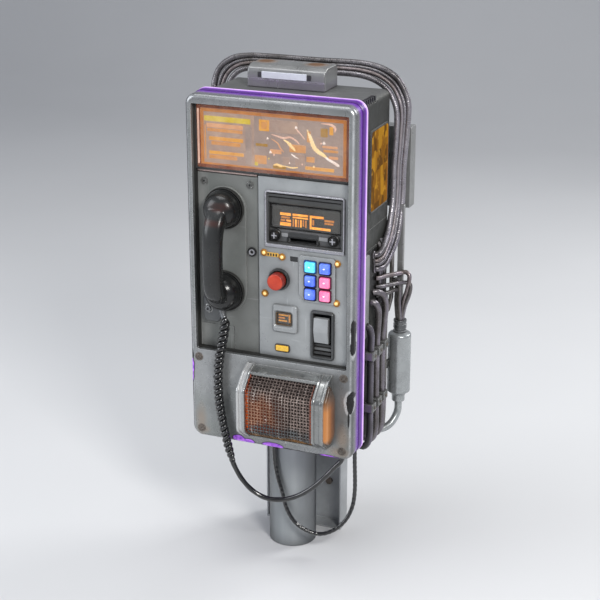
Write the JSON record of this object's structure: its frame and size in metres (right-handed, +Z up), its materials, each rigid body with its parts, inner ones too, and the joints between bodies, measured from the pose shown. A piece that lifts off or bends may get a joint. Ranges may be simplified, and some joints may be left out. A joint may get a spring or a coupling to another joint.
{
  "type": "payphone",
  "caption": "Pole-mounted public payphone: hinged front door with handset on a cord, payment slot and screen, keypad, call button and speaker hood, on a steel cabinet with conduits.",
  "frame": {"origin": "centre of the pole's bottom face", "axes": "+Z up along the pole, -Y towards the user in front of the door, +X to the right seen from the front"},
  "size_m": [0.3757, 0.297, 0.8569],
  "materials": {
    "bezel_metal": "worn satin cast paint with bright edges",
    "edge_purple": "translucent glowing strip",
    "panel_metal": "satin, smudged",
    "cradle_metal": "satin greenish grey",
    "cabinet_metal": "dark satin, dusty",
    "steel": "brushed, dulled",
    "roof_metal": "satin with rust patches",
    "pole_metal": "vertical sheen",
    "conduit_metal": "ribbed flexible conduit, brown tarnish",
    "black_plastic": "polished by handling",
    "cord_rubber": "semi-gloss",
    "dark_plastic": "fine grain",
    "display_amber": "lit amber screen",
    "lamp_amber": "lit amber lens",
    "hood_metal": "worn, bright corners",
    "mesh_copper": "woven wire, tarnished copper",
    "board_green": "solder mask",
    "light_plastic": "fine grain",
    "button_red": "worn",
    "key_cyan": "lit key cap",
    "key_blue": "lit key cap",
    "key_pink": "lit key cap"
  },
  "bodies": {
    "cabinet": {"cabinet_shell": "cabinet_metal", "side_lamp_panel": "lamp_amber", "pole": "pole_metal", "mount_rail": "steel", "top_module": "roof_metal", "loop_conduit_outer": "conduit_metal", "loop_conduit_inner": "conduit_metal", "side_conduit_front": "conduit_metal", "side_conduit_middle": "conduit_metal", "side_conduit_rear": "conduit_metal", "conduit_rack": "steel", "canister": "roof_metal", "rear_junction_box": "roof_metal", "service_cable": "cord_rubber", "hinge_leaf_cabinet": "steel", "hinge_pin": "steel", "main_board": "board_green", "power_supply": "steel", "coin_vault": "dark_plastic"},
    "door": {"button_collar": "dark_plastic", "coin_validator": "steel", "control_board": "board_green", "control_panel": "panel_metal", "cord_bracket": "cradle_metal", "cradle_pad": "cradle_metal", "display_lens": "display_amber", "display_panel": "dark_plastic", "door_casting": "bezel_metal", "edge_light": "edge_purple", "handset_cord": "cord_rubber", "handset_panel": "cradle_metal", "hinge_leaf_door": "steel", "hood_frame": "hood_metal", "hood_mesh": "mesh_copper", "hood_side_lens": "lamp_amber", "keypad_frame": "dark_plastic", "loudspeaker": "dark_plastic", "payment_bezel": "dark_plastic", "payment_screen": "display_amber", "rocker_housing": "dark_plastic", "standby_lamp": "lamp_amber", "status_bezel": "panel_metal", "status_lens": "lamp_amber"},
    "handset": {"handset_shell": "black_plastic", "ear_cap": "black_plastic", "mouth_cap": "black_plastic", "receiver_capsule": "steel", "microphone_capsule": "steel"},
    "hookswitch": {"hookswitch_plunger": "light_plastic"},
    "call_button": {"call_button": "button_red"},
    "knob_left": {"payment_knob_left": "steel"},
    "knob_right": {"payment_knob_right": "steel"},
    "rocker": {"volume_rocker": "light_plastic"},
    "lock": {"lock_barrel": "steel"},
    "key_1": {"key_1": "key_cyan"},
    "key_2": {"key_2": "key_blue"},
    "key_3": {"key_3": "key_blue"},
    "key_4": {"key_4": "key_pink"},
    "key_5": {"key_5": "key_blue"},
    "key_6": {"key_6": "key_pink"}
  },
  "joints": [
    {"name": "door_hinge", "type": "hinge", "parent": "cabinet", "child": "door", "pos_m": [-0.1495, -0.044, 0.521], "axis": [0, 0, -1], "range_deg": [0, 105]},
    {"name": "handset_lift", "type": "slide", "parent": "door", "child": "handset", "axis": [0, -1, 0], "range_m": [0, 0.11]},
    {"name": "hookswitch_press", "type": "slide", "parent": "door", "child": "hookswitch", "axis": [0, 1, 0], "range_m": [0, 0.004], "stiffness_N_per_m": 120},
    {"name": "call_button_press", "type": "slide", "parent": "door", "child": "call_button", "axis": [0, 1, 0], "range_m": [0, 0.005], "stiffness_N_per_m": 300},
    {"name": "key_1_press", "type": "slide", "parent": "door", "child": "key_1", "axis": [0, 1, 0], "range_m": [0, 0.003], "stiffness_N_per_m": 300},
    {"name": "key_2_press", "type": "slide", "parent": "door", "child": "key_2", "axis": [0, 1, 0], "range_m": [0, 0.003], "stiffness_N_per_m": 300},
    {"name": "key_3_press", "type": "slide", "parent": "door", "child": "key_3", "axis": [0, 1, 0], "range_m": [0, 0.003], "stiffness_N_per_m": 300},
    {"name": "key_4_press", "type": "slide", "parent": "door", "child": "key_4", "axis": [0, 1, 0], "range_m": [0, 0.003], "stiffness_N_per_m": 300},
    {"name": "key_5_press", "type": "slide", "parent": "door", "child": "key_5", "axis": [0, 1, 0], "range_m": [0, 0.003], "stiffness_N_per_m": 300},
    {"name": "key_6_press", "type": "slide", "parent": "door", "child": "key_6", "axis": [0, 1, 0], "range_m": [0, 0.003], "stiffness_N_per_m": 300},
    {"name": "knob_left_turn", "type": "hinge", "parent": "door", "child": "knob_left", "pos_m": [0.004, -0.084, 0.597], "axis": [0, 1, 0], "range_deg": [-140, 140]},
    {"name": "knob_right_turn", "type": "hinge", "parent": "door", "child": "knob_right", "pos_m": [0.106, -0.084, 0.598], "axis": [0, 1, 0], "range_deg": [-140, 140]},
    {"name": "rocker_tilt", "type": "hinge", "parent": "door", "child": "rocker", "pos_m": [0.089, -0.078, 0.441], "axis": [1, 0, 0], "range_deg": [-12, 12]},
    {"name": "lock_turn", "type": "hinge", "parent": "door", "child": "lock", "pos_m": [-0.038, -0.075, 0.562], "axis": [0, 1, 0], "range_deg": [0, 90]}
  ]
}
